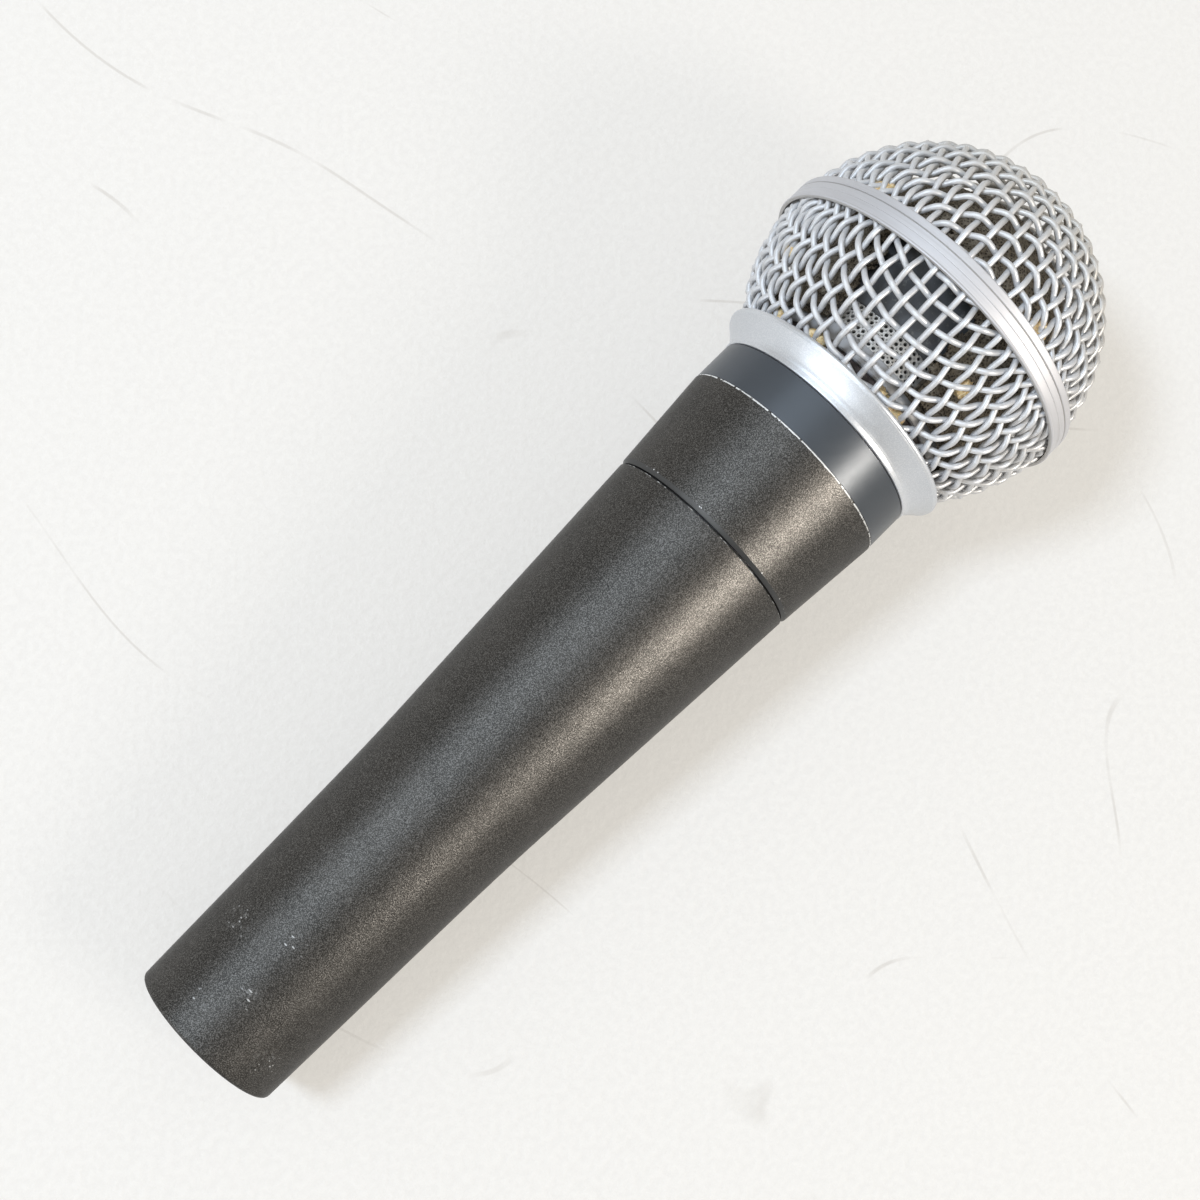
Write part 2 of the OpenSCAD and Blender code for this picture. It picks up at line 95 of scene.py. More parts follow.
CAMERA_AT = Vector((51.5 * MM, 0.0, 231.9 * MM))
CAMERA_LEAN_X = math.radians(6.42)
CAMERA_LEAN_Y = math.radians(1.04)
CAMERA_ROLL = math.radians(44.72)
CAMERA_LENS = 51.35


def turn_matrix(x_axis, y_axis, z_axis, at):
    """A 4x4 matrix with these axes as its columns."""
    m = Matrix.Identity(4)
    for column, axis in enumerate((x_axis, y_axis, z_axis)):
        for row in range(3):
            m[row][column] = axis[row]
    m.translation = at
    return m


def make_camera():
    look = Vector((math.sin(CAMERA_LEAN_X), math.sin(CAMERA_LEAN_Y), -1)).normalized()
    along = Vector((1, 0, 0))
    across = (along - look * along.dot(look)).normalized()
    over = (-look).cross(across)
    right = math.cos(CAMERA_ROLL) * across - math.sin(CAMERA_ROLL) * over
    up = math.sin(CAMERA_ROLL) * across + math.cos(CAMERA_ROLL) * over
    data = bpy.data.cameras.new("camera")
    data.lens = CAMERA_LENS
    data.clip_start = 0.01
    camera = bpy.data.objects.new("camera", data)
    bpy.context.scene.collection.objects.link(camera)
    camera.matrix_world = turn_matrix(right, up, -look, CAMERA_AT)
    bpy.context.scene.camera = camera


def area_light(name, at, size, power, colour, lights, target=Vector((0.08, 0, 0))):
    """A rectangular light aimed at target. size is (along X, across it), and lights says whether
    it gives the "shading" of matt surfaces or the "shine" of glossy ones."""
    data = bpy.data.lights.new(name, "AREA")
    data.shape = "RECTANGLE"
    data.size, data.size_y = size
    data.energy = power
    data.color = colour
    light = bpy.data.objects.new(name, data)
    light.visible_diffuse = lights == "shading"
    light.visible_glossy = lights == "shine"
    bpy.context.scene.collection.objects.link(light)
    back = (at - target).normalized()
    along = Vector((1, 0, 0))
    along = (along - back * along.dot(back)).normalized()
    light.matrix_world = turn_matrix(along, back.cross(along), back, at)


def make_lights():
    world = bpy.data.worlds.new("studio")
    bpy.context.scene.world = world
    world.use_nodes = True
    sky = world.node_tree.nodes["Background"]
    sky.inputs["Color"].default_value = (1.0, 0.965, 0.90, 1)
    sky.inputs["Strength"].default_value = 0.58
    day, warm = (0.74, 0.85, 1.0), (1.0, 0.93, 0.84)
    area_light("window", Vector((-0.10, 0.50, 1.10)), (1.1, 0.90), 11.0, (0.73, 0.86, 1.0), "shine")
    area_light("window_key", Vector((-0.22, 0.56, 1.18)), (0.26, 0.26), 13.0, day, "shading")
    area_light("lamp", Vector((0.26, -0.80, 0.62)), (0.24, 0.18), 12.0, warm, "shine")
    area_light("lamp_fill", Vector((0.26, -0.80, 0.62)), (0.30, 0.30), 3.2, warm, "shading")
    area_light("left_panel", Vector((-1.0, 0.34, 0.45)), (0.5, 0.85), 4.4, (0.86, 0.93, 1.0), "shine")
    bpy.context.scene.view_settings.view_transform = "Standard"


# ---------------------------------------------------------------- material nodes


class Look:
    """One material: a Principled shader with nodes added to it. Coordinates are in millimetres."""

    def __init__(self, name, roughness=0.5, metallic=0.0, specular=0.5, tint=1.0):
        self.material = bpy.data.materials.new(name)
        self.material.use_nodes = True
        self.tree = self.material.node_tree
        self.shader = self.tree.nodes["Principled BSDF"]
        self.shader.inputs["Roughness"].default_value = roughness
        self.shader.inputs["Metallic"].default_value = metallic
        self.shader.inputs["Specular IOR Level"].default_value = specular
        self.shader.inputs["Specular Tint"].default_value = (tint, tint, tint, 1.0)
        place = self.tree.nodes.new("ShaderNodeTexCoord")
        self.mm = self.vector("SCALE", place.outputs["Object"], scale=1 / MM)

    def put(self, socket, value):
        """Sets a socket to a number or colour, or links it to an output."""
        if isinstance(value, bpy.types.NodeSocket):
            self.tree.links.new(value, socket)
        elif isinstance(value, tuple) and len(value) == 3 and socket.type == "RGBA":
            socket.default_value = (*value, 1)
        else:
            socket.default_value = value

    def vector(self, operation, a, b=None, scale=None):
        n = self.tree.nodes.new("ShaderNodeVectorMath")
        n.operation = operation
        self.put(n.inputs[0], a)
        if b is not None:
            self.put(n.inputs[1], b)
        if scale is not None:
            n.inputs["Scale"].default_value = scale
        return n.outputs[1] if operation == "LENGTH" else n.outputs[0]

    def maths(self, operation, a, b=0.0):
        n = self.tree.nodes.new("ShaderNodeMath")
        n.operation = operation
        self.put(n.inputs[0], a)
        self.put(n.inputs[1], b)
        return n.outputs[0]

    def parts(self, vector=None):
        """The x, y and z outputs of a vector."""
        n = self.tree.nodes.new("ShaderNodeSeparateXYZ")
        self.put(n.inputs[0], vector or self.mm)
        return n.outputs

    def axis_r(self):
        """Distance from the microphone's axis, in millimetres."""
        return self.vector("LENGTH", self.vector("MULTIPLY", self.mm, (0, 1, 1)))

    def noise(self, scale, detail=2.0, roughness=0.5, stretch=(1, 1, 1), shift=(0, 0, 0), warp=0.0):
        """A noise factor. scale is how many features there are in a millimetre."""
        n = self.tree.nodes.new("ShaderNodeTexNoise")
        moved = self.vector("ADD", self.vector("MULTIPLY", self.mm, stretch), shift)
        self.put(n.inputs["Vector"], moved)
        n.inputs["Scale"].default_value = scale
        n.inputs["Detail"].default_value = detail
        n.inputs["Roughness"].default_value = roughness
        n.inputs["Distortion"].default_value = warp
        return n.outputs["Fac"]

    def cells(self, scale, stretch=(1, 1, 1), shift=(0, 0, 0), randomness=1.0):
        """Distance to the nearest of the points scattered at that scale."""
        n = self.tree.nodes.new("ShaderNodeTexVoronoi")
        moved = self.vector("ADD", self.vector("MULTIPLY", self.mm, stretch), shift)
        self.put(n.inputs["Vector"], moved)
        n.inputs["Scale"].default_value = scale
        n.inputs["Randomness"].default_value = randomness
        return n.outputs["Distance"]

    def step(self, value, start, end, out=(0.0, 1.0)):
        """A smooth step of value from start to end."""
        n = self.tree.nodes.new("ShaderNodeMapRange")
        n.interpolation_type = "SMOOTHSTEP"
        self.put(n.inputs["Value"], value)
        n.inputs["From Min"].default_value = start
        n.inputs["From Max"].default_value = end
        n.inputs["To Min"].default_value = out[0]
        n.inputs["To Max"].default_value = out[1]
        return n.outputs["Result"]

    def mix(self, share, a, b):
        n = self.tree.nodes.new("ShaderNodeMix")
        n.data_type = "RGBA"
        self.put(n.inputs["Factor"], share)
        self.put(n.inputs["A"], a)
        self.put(n.inputs["B"], b)
        return n.outputs["Result"]

    def blend(self, share, a, b):
        """Mixes two numbers."""
        n = self.tree.nodes.new("ShaderNodeMix")
        n.data_type = "FLOAT"
        self.put(n.inputs["Factor"], share)
        self.put(n.inputs["A"], a)
        self.put(n.inputs["B"], b)
        return n.outputs["Result"]

    def bump(self, height, depth, normal=None):
        """A bump of that depth in millimetres."""
        n = self.tree.nodes.new("ShaderNodeBump")
        n.inputs["Strength"].default_value = 1.0
        n.inputs["Distance"].default_value = depth * MM
        self.put(n.inputs["Height"], height)
        if normal is not None:
            self.put(n.inputs["Normal"], normal)
        return n.outputs["Normal"]

    def finish(self, colour=None, roughness=None, metallic=None, normal=None):
        for name, value in (
            ("Base Color", colour),
            ("Roughness", roughness),
            ("Metallic", metallic),
            ("Normal", normal),
        ):
            if value is not None:
                self.put(self.shader.inputs[name], value)
        return self.material


# ---------------------------------------------------------------- materials


def chips(look, scale, share, shift=(0, 0, 0), stretch=(1, 1, 1)):
    """Small scattered marks: 1 in a chip and 0 elsewhere."""
    ragged = look.maths("MULTIPLY", look.noise(9.0 * scale, 3, shift=shift), 0.28)
    distance = look.maths("ADD", look.cells(scale, stretch, shift), ragged)
    return look.step(distance, 0.13 + share, 0.10 + share)


def near(look, value, centre, reach, soft):
    """1 where value is within reach of centre, falling to 0 over soft."""
    away = look.maths("ABSOLUTE", look.maths("SUBTRACT", value, centre))
    return look.step(away, reach + soft, reach)


def enamel(name, bare, worn_edges, scuffed=(), smooth_sheen_to=0.0):
    """Dark metallic enamel over die-cast zinc. bare(look) gives 1 where the metal was never painted,
    worn_edges are (x, width, cover) with cover the noise level above which the edge is worn through,
    scuffed are (x, y, reach) of the scratched places on the upper side, and below the distance
    smooth_sheen_to the paint has no grain and is painted a flat, lighter grey: a painted sheen on the
    chamfer."""
    look = Look(name, specular=0.68, tint=0.45)
    x, _, z = look.parts()
    flakes = look.step(look.noise(6.5, 2, 0.6), 0.46, 0.62)
    pits = look.step(look.noise(5.5, 2, 0.6, shift=(8, 3, 1)), 0.44, 0.32)
    patch = look.step(look.noise(0.12, 3), 0.35, 0.65)
    dark = look.mix(patch, (0.033, 0.031, 0.028), (0.042, 0.039, 0.035))
    flaked = look.mix(pits, look.mix(flakes, dark, (0.124, 0.118, 0.110)), (0.010, 0.009, 0.008))
    # Painted sheen: below smooth_sheen_to the paint is a flat, lighter grey without grain.
    smooth = look.step(x, smooth_sheen_to + 0.05, smooth_sheen_to - 0.05)
    flaked = look.mix(smooth, flaked, (0.066, 0.066, 0.065))
    marks = look.maths("MULTIPLY", chips(look, 0.26, -0.045, shift=(11, 4, 2)), 0.8)
    above = look.step(z, 0.0, 2.0)
    for at_x, at_y, reach in scuffed:
        offset = look.vector("SUBTRACT", look.mm, (at_x, at_y, 0))
        away = look.vector("LENGTH", look.vector("MULTIPLY", offset, (1, 1, 0)))
        place = look.maths("MULTIPLY", look.step(away, reach, 0.4 * reach), above)
        chipped = chips(look, 1.6, 0.19, shift=(at_y, 0, 0), stretch=(1, 0.38, 1))
        rubbed = look.step(look.noise(1.4, 4, 0.7, shift=(0, at_y, 3)), 0.52, 0.78, (0.0, 0.24))
        scuff = look.maths("MAXIMUM", look.maths("MULTIPLY", chipped, 0.55), rubbed)
        marks = look.maths("MAXIMUM", marks, look.maths("MULTIPLY", place, scuff))
    for edge_x, width, cover in worn_edges:
        wobble = look.maths("SUBTRACT", look.noise(0.9, 3, 0.7), 0.5)
        ragged_x = look.maths("ADD", x, look.maths("MULTIPLY", wobble, width))
        edge = near(look, ragged_x, edge_x, width * 0.42, width * 0.3)
        through = look.step(look.noise(1.6, 2, shift=(5, 0, 0)), cover, cover + 0.06)
        marks = look.maths("MAXIMUM", marks, look.maths("MULTIPLY", edge, through))
    worn = look.mix(marks, flaked, (0.72, 0.72, 0.71))
    unpainted = bare(look)
    zinc = look.mix(look.noise(1.2, 4), (0.30, 0.30, 0.31), (0.50, 0.50, 0.51))
    colour = look.mix(unpainted, worn, zinc)
    grit = look.blend(smooth, look.noise(6.0, 2, 0.6), 0.5)
    normal = look.bump(look.maths("SUBTRACT", grit, look.maths("MULTIPLY", marks, 0.4)), 0.034)
    painted_rough = look.step(look.noise(0.5, 4), 0.3, 0.7, (0.33, 0.39))
    metal = look.blend(unpainted, look.blend(marks, 0.6, 0.15), 0.9)
    return look.finish(colour, look.blend(unpainted, painted_rough, 0.35), metal, normal)


def handle_enamel():
    front = high_x("handle_shell") / MM

    def bare(look):
        x = look.parts()[0]
        bore_r = look.maths("ADD", look.maths("MULTIPLY", x, 0.042), 10.2)
        inside = look.step(look.maths("SUBTRACT", look.axis_r(), bore_r), 0.06, -0.06)
        return look.maths("MAXIMUM", inside, look.step(x, front - 0.03, front - 0.01))

    knocks = [(14.8, 7.4, 2.6), (18.0, 0.2, 2.2), (9.5, -0.6, 2.0), (4.6, -8.0, 2.4), (5.2, 3.6, 1.8)]
    return enamel("handle_enamel", bare, [(front - 0.05, 0.1, 0.55)], knocks)


def sleeve_enamel():
    front = low_x("nameplate_band") / MM
    ring = front - 15.35

    def bare(look):
        inside = look.step(look.axis_r(), 14.7, 14.5)
        return look.maths("MAXIMUM", inside, look.step(look.parts()[0], front, front + 0.1))

    # The sleeve's chamfer below ring gets the painted sheen.
    return enamel("sleeve_enamel", bare, [(front - 0.12, 0.24, 0.38), (ring, 0.2, 0.66)], smooth_sheen_to=ring)


def nameplate_paint():
    look = Look("nameplate_paint", specular=0.42)
    fine = look.noise(6.0, 2)
    base = look.mix(look.noise(0.3, 3), (0.054, 0.062, 0.072), (0.064, 0.073, 0.084))
    specks = chips(look, 0.5, -0.045, shift=(2, 7, 1))
    colour = look.mix(look.maths("MULTIPLY", specks, 0.5), base, (0.42, 0.44, 0.46))
    rough = look.step(look.noise(0.8, 3), 0.3, 0.7, (0.33, 0.36))
    return look.finish(colour, rough, 0.25, look.bump(fine, 0.005))


def silver_enamel():
    look = Look("silver_enamel")
    fine = look.noise(6.5, 3, 0.6)
    base = look.mix(look.noise(0.25, 3), (0.55, 0.575, 0.61), (0.60, 0.62, 0.65))
    grain = look.mix(look.step(fine, 0.4, 0.7), base, (0.70, 0.715, 0.74))
    pits = chips(look, 0.55, -0.055, shift=(4, 2, 9))
    colour = look.mix(pits, grain, (0.22, 0.21, 0.20))
    rough = look.step(look.noise(1.1, 3), 0.3, 0.7, (0.34, 0.40))
    normal = look.bump(look.maths("SUBTRACT", fine, look.maths("MULTIPLY", pits, 0.8)), 0.010)
    return look.finish(colour, rough, 0.8, normal)


def brushed_band():
    look = Look("brushed_band")
    lines = look.noise(7.0, 3, 0.7, stretch=(1, 0.02, 0.02))
    wide = look.noise(1.7, 2, stretch=(1, 0.03, 0.03))
    nicks = chips(look, 0.32, -0.04, shift=(7, 3, 5))
    base = look.mix(lines, (0.48, 0.48, 0.50), (0.62, 0.62, 0.64))
    worn = look.maths("MULTIPLY", look.step(wide, 0.62, 0.75), 0.35)
    tone = look.mix(worn, base, (0.42, 0.41, 0.41))
    dirt = look.maths("MULTIPLY", look.step(look.noise(0.7, 4, 0.7), 0.62, 0.8), 0.35)
    # Painted shade: a little darker where the surface lies below the band's face, in the seam and the
    # grooves; dirt patches are mixed in as well.
    seam_shade = look.step(look.axis_r(), outer_r("grille_band") / MM - 0.10, outer_r("grille_band") / MM - 0.16)
    dirt_and_seam_shade = look.mix(seam_shade, look.mix(dirt, tone, (0.38, 0.35, 0.31)), (0.46, 0.45, 0.44))
    colour = look.mix(nicks, dirt_and_seam_shade, (0.10, 0.08, 0.07))
    rough = look.step(lines, 0.2, 0.8, (0.52, 0.62))
    normal = look.bump(look.maths("SUBTRACT", lines, look.maths("MULTIPLY", nicks, 1.5)), 0.010)
    return look.finish(colour, rough, 0.6, normal)


def wire_paint():
    look = Look("wire_paint")
    grain = look.noise(3.2, 3, 0.6)
    base = look.mix(grain, (0.54, 0.545, 0.555), (0.67, 0.672, 0.68))
    grime = look.maths("MULTIPLY", look.step(look.noise(0.35, 4, 0.65), 0.54, 0.78), 0.35)
    dust = look.step(look.parts()[0], 140.0, 158.0, (0.0, 0.5))
    colour = look.mix(dust, look.mix(grime, base, (0.38, 0.35, 0.31)), (0.50, 0.47, 0.41))
    rough = look.step(look.noise(1.5, 3), 0.3, 0.7, (0.36, 0.50))
    return look.finish(colour, rough, 0.3, look.bump(grain, 0.020))


def foam_stuff():
    look = Look("foam_stuff", roughness=1.0, specular=0.1)
    pores = look.cells(2.6, shift=(1, 5, 2))
    lumps = look.noise(1.1, 4, 0.7)
    base = look.mix(lumps, (0.12, 0.104, 0.082), (0.26, 0.225, 0.172))
    # Painted shade: the pores are coloured near black.
    holes = look.mix(look.step(pores, 0.55, 0.2), base, (0.045, 0.038, 0.030))
    dust = look.step(look.noise(3.4, 3, 0.7, shift=(9, 1, 4)), 0.62, 0.72)
    colour = look.mix(look.maths("MULTIPLY", dust, 0.7), holes, (0.44, 0.39, 0.31))
    normal = look.bump(look.maths("ADD", pores, lumps), 0.28)
    return look.finish(colour, None, None, normal)


def glue_stuff():
    look = Look("glue_stuff", roughness=0.45, specular=0.5)
    lumps = look.noise(1.6, 4, 0.7)
    base = look.mix(look.step(lumps, 0.3, 0.7), (0.52, 0.34, 0.13), (0.90, 0.74, 0.46))
    dirt = look.step(look.noise(0.9, 3, shift=(2, 2, 8)), 0.6, 0.75)
    colour = look.mix(look.maths("MULTIPLY", dirt, 0.3), base, (0.30, 0.23, 0.15))
    look.shader.inputs["Subsurface Weight"].default_value = 0.15
    look.shader.inputs["Subsurface Radius"].default_value = (1.0 * MM, 0.6 * MM, 0.3 * MM)
    return look.finish(colour, None, None, look.bump(lumps, 0.15))


def dusty(name, low, high, roughness, metallic=0.0, grain=2.5, depth=0.02, dust=0.4,
          dust_colour=(0.42, 0.38, 0.32)):
    """A surface with a fine grain and dust that lies on it in patches."""
    look = Look(name, roughness=roughness, metallic=metallic)
    fine = look.noise(grain, 3, 0.6)
    base = look.mix(fine, low, high)
    lying = look.step(look.noise(1.3, 4, 0.75, shift=(6, 2, 3)), 0.56, 0.68)
    colour = look.mix(look.maths("MULTIPLY", lying, dust), base, dust_colour)
    rough = look.step(look.noise(0.9, 3), 0.3, 0.7, (roughness * 0.85, min(1.0, roughness * 1.15)))
    return look.finish(colour, rough, None, look.bump(fine, depth))


def woven(name, low, high, pitch, roughness=0.95):
    """Fine cloth or felt with threads crossing at pitch millimetres."""
    look = Look(name, roughness=roughness, specular=0.2)
    across = look.maths("SINE", look.maths("MULTIPLY", look.parts()[1], 2 * math.pi / pitch))
    along = look.maths("SINE", look.maths("MULTIPLY", look.parts()[2], 2 * math.pi / pitch))
    threads = look.maths("MULTIPLY", across, along)
    fuzz = look.noise(4.0, 3, 0.7)
    height = look.maths("ADD", look.maths("MULTIPLY", threads, 0.5), fuzz)
    # Painted shade: the colour is darker where the threads dip between crossings.
    colour = look.mix(look.step(height, -0.1, 1.1), low, high)
    return look.finish(colour, None, None, look.bump(height, 0.05))


def laid_turns(name, low, high, pitch, axis):
    """Enamelled wire wound in turns side by side, pitch millimetres apart along axis."""
    look = Look(name, roughness=0.35, metallic=0.7)
    turns = look.maths("SINE", look.maths("MULTIPLY", look.parts()[axis], 2 * math.pi / pitch))
    patch = look.noise(0.8, 3)
    height = look.step(turns, -1.0, 1.0)
    # Painted light and shade: each turn is lighter on its crest and darker in the groove beside it, varied
    # in patches.
    colour = look.mix(look.maths("MULTIPLY", height, patch), low, high)
    return look.finish(colour, None, None, look.bump(height, 0.06))


def stacked_plates(name, pitch):
    """The edges of thin steel sheets stacked across Z, pitch millimetres apart."""
    look = Look(name, roughness=0.5, metallic=0.85)
    wave = look.maths("SINE", look.maths("MULTIPLY", look.parts()[2], 2 * math.pi / pitch))
    sheets = look.step(wave, -0.9, -0.3)
    rust = look.step(look.noise(0.6, 4, 0.7), 0.6, 0.75)
    steel = look.mix(sheets, (0.06, 0.06, 0.065), (0.32, 0.32, 0.34))
    colour = look.mix(look.maths("MULTIPLY", rust, 0.5), steel, (0.20, 0.12, 0.07))
    return look.finish(colour, None, None, look.bump(sheets, 0.05))


def floor_paint():
    """Pale painted board, slightly pebbled and scratched, that glows a little, so that shadows on it
    stay light."""
    look = Look("floor_paint", roughness=0.6, specular=0.15)
    mottle = look.noise(0.02, 4)
    pebbles = look.noise(0.9, 3, 0.6)
    base = look.mix(mottle, (0.36, 0.36, 0.36), (0.385, 0.385, 0.38))
    base = look.mix(look.step(pebbles, 0.3, 0.7), base, (0.405, 0.405, 0.40))
    scratches = None
    for spread, shift in ((0.011, (3, 8, 0)), (0.014, (70, 31, 0))):
        line = near(look, look.noise(spread, 1, 0.4, stretch=(1, 0.5, 1), shift=shift), 0.5, 0.0006, 0.0012)
        broken = look.step(look.noise(0.03, 3, shift=shift), 0.52, 0.60)
        scratch = look.maths("MULTIPLY", line, broken)
        scratches = scratch if scratches is None else look.maths("MAXIMUM", scratches, scratch)
    specks = chips(look, 0.06, -0.075, shift=(5, 9, 2))
    marks = look.maths("MULTIPLY", look.maths("MAXIMUM", scratches, specks), 0.45)
    colour = look.mix(marks, base, (0.14, 0.13, 0.12))
    look.shader.inputs["Emission Color"].default_value = (0.445, 0.425, 0.392, 1)
    look.shader.inputs["Emission Strength"].default_value = 1.0
    return look.finish(colour, None, None, look.bump(pebbles, 0.16))


def dress(node, material):
    """Gives a CAD node its material."""
    o = nodes_by_name[node]
    if not o.material_slots:
        o.data.materials.append(material)
    for s in o.material_slots:
        s.link = "OBJECT"
        s.material = material


def dress_frame(rubber):
    """Materials for the CAD nodes that stay as they are. rubber is the shock mounts'."""
    steel = dusty("plated_steel", (0.55, 0.55, 0.56), (0.70, 0.70, 0.72), 0.32, 0.95,
                  grain=3.0, depth=0.01, dust=0.1)
    pins = dusty("pin_plating", (0.70, 0.64, 0.48), (0.84, 0.80, 0.66), 0.25, 0.95,
                 grain=4.0, depth=0.004, dust=0.12, dust_colour=(0.30, 0.24, 0.16))
    dress("handle_shell", handle_enamel())
    dress("cartridge_sleeve", sleeve_enamel())
    dress("nameplate_band", nameplate_paint())
    dress("grille_collar", silver_enamel())
    dress("grille_band", brushed_band())
    dress("xlr_insert", dusty("phenolic", (0.018, 0.026, 0.023), (0.035, 0.045, 0.040), 0.45,
                              grain=3.0, depth=0.01, dust=0.15))
    for pin in ("contact_pin_1", "contact_pin_2", "contact_pin_3"):
        dress(pin, pins)
    dress("ground_strip", steel)
    dress("insert_set_screw", steel)
    dress("transformer_core", stacked_plates("core_plates", 0.5))
    dress("transformer_bobbin", dusty("bobbin_plastic", (0.50, 0.46, 0.36), (0.60, 0.56, 0.45), 0.5,
                                      dust=0.1))
    dress("transformer_winding", laid_turns("winding", (0.30, 0.12, 0.04), (0.85, 0.45, 0.20), 0.25, 0))
    dress("potting_compound", dusty("potting_wax", (0.34, 0.26, 0.13), (0.50, 0.40, 0.23), 0.4,
                                    grain=0.8, depth=0.12, dust=0.15))
    dress("rear_shock_mount", rubber)
    dress("air_chamber_can", dusty("can_metal", (0.42, 0.43, 0.44), (0.58, 0.58, 0.60), 0.4, 0.9,
                                   grain=3.0, depth=0.01, dust=0.2))
    dress("capsule_frame", dusty("frame_plastic", (0.36, 0.36, 0.365), (0.47, 0.465, 0.46), 0.42, 0.2,
                                 grain=2.2, depth=0.02, dust=0.35, dust_colour=(0.30, 0.26, 0.21)))
    dress("port_felt", woven("felt", (0.02, 0.02, 0.02), (0.07, 0.065, 0.06), 0.4))
    dress("resonator_cap", dusty("cap_plastic", (0.068, 0.072, 0.078), (0.10, 0.105, 0.112), 0.5,
                                 grain=2.0, depth=0.02, dust=0.5, dust_colour=(0.26, 0.25, 0.24)))
    dress("front_cloth", woven("cloth", (0.02, 0.02, 0.024), (0.09, 0.09, 0.10), 0.35))
    dress("yoke_cup", steel)
    dress("pole_plate", steel)
    dress("magnet", dusty("magnet", (0.10, 0.10, 0.105), (0.20, 0.20, 0.21), 0.45, 0.8, dust=0.1))
    dress("terminal_board", dusty("board", (0.20, 0.10, 0.035), (0.30, 0.16, 0.06), 0.5, dust=0.15))
    dress("input_leads", dusty("lead_red", (0.30, 0.02, 0.015), (0.42, 0.04, 0.03), 0.4, dust=0.15))
    dress("diaphragm", dusty("film", (0.62, 0.58, 0.46), (0.74, 0.70, 0.58), 0.25,
                             grain=1.0, depth=0.01, dust=0.1))
    dress("voice_coil", laid_turns("coil_turns", (0.30, 0.12, 0.04), (0.85, 0.45, 0.20), 0.12, 0))


# ---------------------------------------------------------------- mesh helpers


def mesh_object(name, points, faces, material, smooth=True):
    mesh = bpy.data.meshes.new(name)
    mesh.from_pydata([tuple(p) for p in points], [], [tuple(int(i) for i in f) for f in faces])
    mesh.validate()
    mesh.update()
    mesh.materials.append(material)
    mesh.polygons.foreach_set("use_smooth", [smooth] * len(mesh.polygons))
    o = bpy.data.objects.new(name, mesh)
    bpy.context.scene.collection.objects.link(o)
    return o


def unit_rows(a):
    return a / np.linalg.norm(a, axis=1, keepdims=True)


class Tubes:
    """Round wires gathered into one mesh."""

    def __init__(self):
        self.points, self.faces, self.count = [], [], 0

    def add(self, line, radius, away, sides=10):
        """A tube along line, an array of points. away gives each point a direction that isn't
        along the wire."""
        along = unit_rows(np.gradient(line, axis=0))
        across = unit_rows(np.cross(along, away))
        over = np.cross(across, along)
        turn = np.arange(sides) * 2 * math.pi / sides
        cosine, sine = np.cos(turn)[None, :, None], np.sin(turn)[None, :, None]
        ring = cosine * across[:, None, :] + sine * over[:, None, :]
        self.points.append((line[:, None, :] + radius * ring).reshape(-1, 3))
        first = self.count
        n = len(line)
        for i in range(n - 1):
            for k in range(sides):
                a, b = first + i * sides + k, first + i * sides + (k + 1) % sides
                self.faces.append((a, b, b + sides, a + sides))
        self.faces.append([first + k for k in reversed(range(sides))])
        self.faces.append([first + (n - 1) * sides + k for k in range(sides)])
        self.count += n * sides

    def build(self, name, material):
        return mesh_object(name, np.concatenate(self.points), self.faces, material)


# ---------------------------------------------------------------- woven wire

WIRE_R = 0.42 * MM
WEAVE_R = BALL_R - 2 * WIRE_R
PITCH = 2.7 * MM
FORMED_LONGER = 0.067
FORMED_CLOSER = 0.115
SAMPLES = 8
NET_CELLS = 24
NET_LOWEST = -0.12
HAND_WOBBLE = 0.13


def cell_length(at, direction):
    """Spacing of the crossings along direction, where forming has stretched the cloth
    away from the pole and drawn it closer round the pole. The pole is +Z."""
    from_pole = math.acos(max(-1.0, min(1.0, at[2]))) / (math.pi / 2)
    share = min(1.0, from_pole) ** 2
    outward = np.array([at[0], at[1], 0.0])
    size = np.linalg.norm(outward)
    if size < 1e-6 or direction is None:
        return PITCH
    outward = outward / size * at[2] - np.array([0, 0, math.sqrt(max(0.0, 1 - at[2] ** 2))])
    radial = abs(float(np.dot(direction, outward))) ** 2
    return PITCH * (1 + share * (FORMED_LONGER * radial - FORMED_CLOSER * (1 - radial)))


def walk(at, direction, length):
    """The point reached from at by going that far along a great circle."""
    angle = length / WEAVE_R
    return at * math.cos(angle) + direction * math.sin(angle)


def heading(a, b):
    """Unit direction at b of the great circle from a to b."""
    d = (b - a) - b * float(np.dot(b - a, b))
    return d / np.linalg.norm(d)


def crossing(before, side, far_from):
    """The point one cell on from both before and side, on the side away from far_from."""
    cos_a = math.cos(cell_length(before, heading(far_from, side)) / WEAVE_R)
    cos_b = math.cos(cell_length(side, heading(far_from, before)) / WEAVE_R)
    dot = float(np.dot(before, side))
    rest = 1 - dot * dot
    a, b = (cos_a - dot * cos_b) / rest, (cos_b - dot * cos_a) / rest
    height = 1 - (a * a + b * b + 2 * a * b * dot)
    if height <= 0:
        return None
    normal = np.cross(before, side)
    c = math.sqrt(height / rest)
    options = [a * before + b * side + s * c * normal for s in (1, -1)]
    return max(options, key=lambda p: np.linalg.norm(p - far_from))


